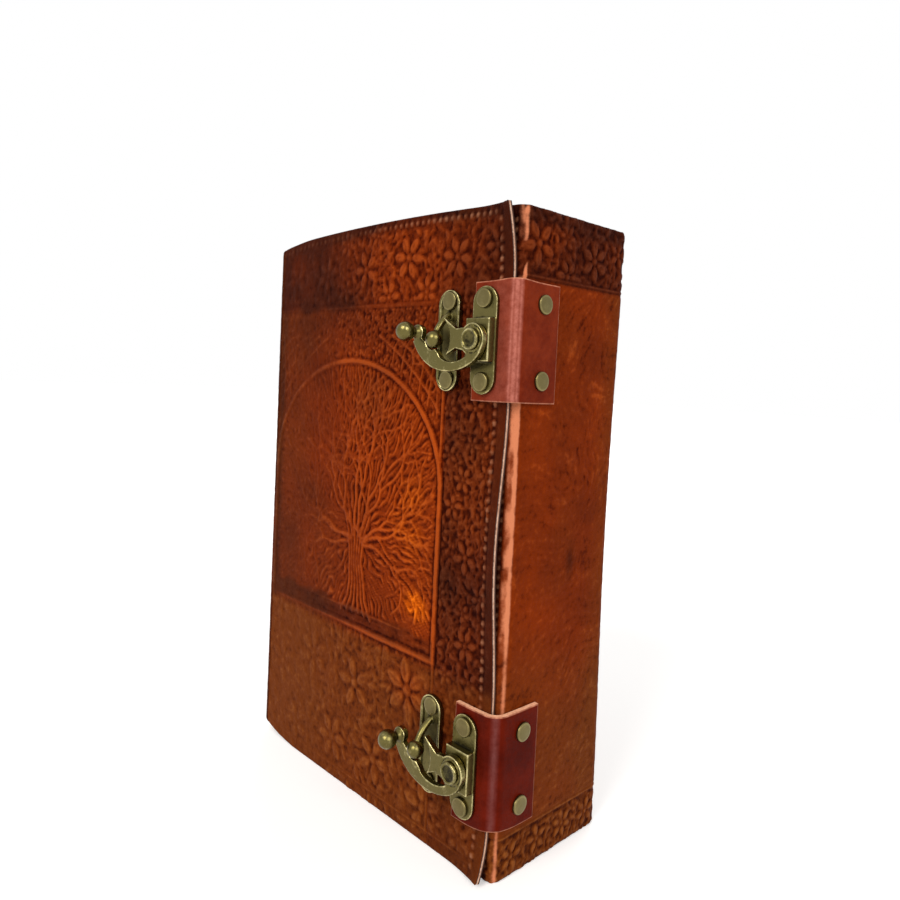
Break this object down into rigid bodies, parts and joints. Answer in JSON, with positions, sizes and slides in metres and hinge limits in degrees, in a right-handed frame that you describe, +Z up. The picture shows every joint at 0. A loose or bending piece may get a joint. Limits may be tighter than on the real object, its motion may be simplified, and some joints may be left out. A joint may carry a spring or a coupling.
{
  "type": "embossed leather journal",
  "caption": "Upright hand-bound journal in embossed brown leather, its fore-edge flap held shut by brass swing clasps on leather tabs.",
  "frame": {"origin": "middle of the bounding box on the floor under the standing journal", "axes": "+Z up along the spine, -Y out of the front cover, +X towards the fore-edge flap"},
  "size_m": [0.1745, 0.0897, 0.258],
  "materials": {
    "embossed_leather": "embossed, antiqued orange to dark brown, waxed semi-gloss",
    "tab_leather": "smooth oxblood, waxed, raw cut edge",
    "pages": "cream handmade paper, matt, seen on its cut edges",
    "waxed_thread": "waxed linen thread, satin",
    "cast_brass": "antique brass, dark in the hollows and rubbed bright on the edges",
    "rivet_brass": "antique brass, brushed flat heads"
  },
  "bodies": {
    "journal": {"leather_cover": "embossed_leather", "page_block": "pages", "binding_thread": "waxed_thread", "tab_upper": "tab_leather", "tab_lower": "tab_leather", "hinge_plate_upper": "cast_brass", "hinge_plate_lower": "cast_brass", "pivot_upper": "cast_brass", "pivot_lower": "cast_brass", "catch_plate_upper": "cast_brass", "catch_plate_lower": "cast_brass", "tab_rivet_upper_top": "rivet_brass", "tab_rivet_upper_bottom": "rivet_brass", "tab_rivet_lower_top": "rivet_brass", "tab_rivet_lower_bottom": "rivet_brass", "hinge_rivet_upper_top": "rivet_brass", "hinge_rivet_upper_bottom": "rivet_brass", "hinge_rivet_lower_top": "rivet_brass", "hinge_rivet_lower_bottom": "rivet_brass", "catch_rivet_upper_top": "rivet_brass", "catch_rivet_upper_bottom": "rivet_brass", "catch_rivet_lower_top": "rivet_brass", "catch_rivet_lower_bottom": "rivet_brass"},
    "upper_hook": {"swing_hook_upper": "cast_brass"},
    "lower_hook": {"swing_hook_lower": "cast_brass"}
  },
  "joints": [
    {"name": "upper_hook_swing", "type": "hinge", "parent": "journal", "child": "upper_hook", "pos_m": [0.07135, -0.034, 0.206], "axis": [0, -1, 0], "range_deg": [0, 110]},
    {"name": "lower_hook_swing", "type": "hinge", "parent": "journal", "child": "lower_hook", "pos_m": [0.07135, -0.034, 0.044], "axis": [0, -1, 0], "range_deg": [0, 110]}
  ]
}
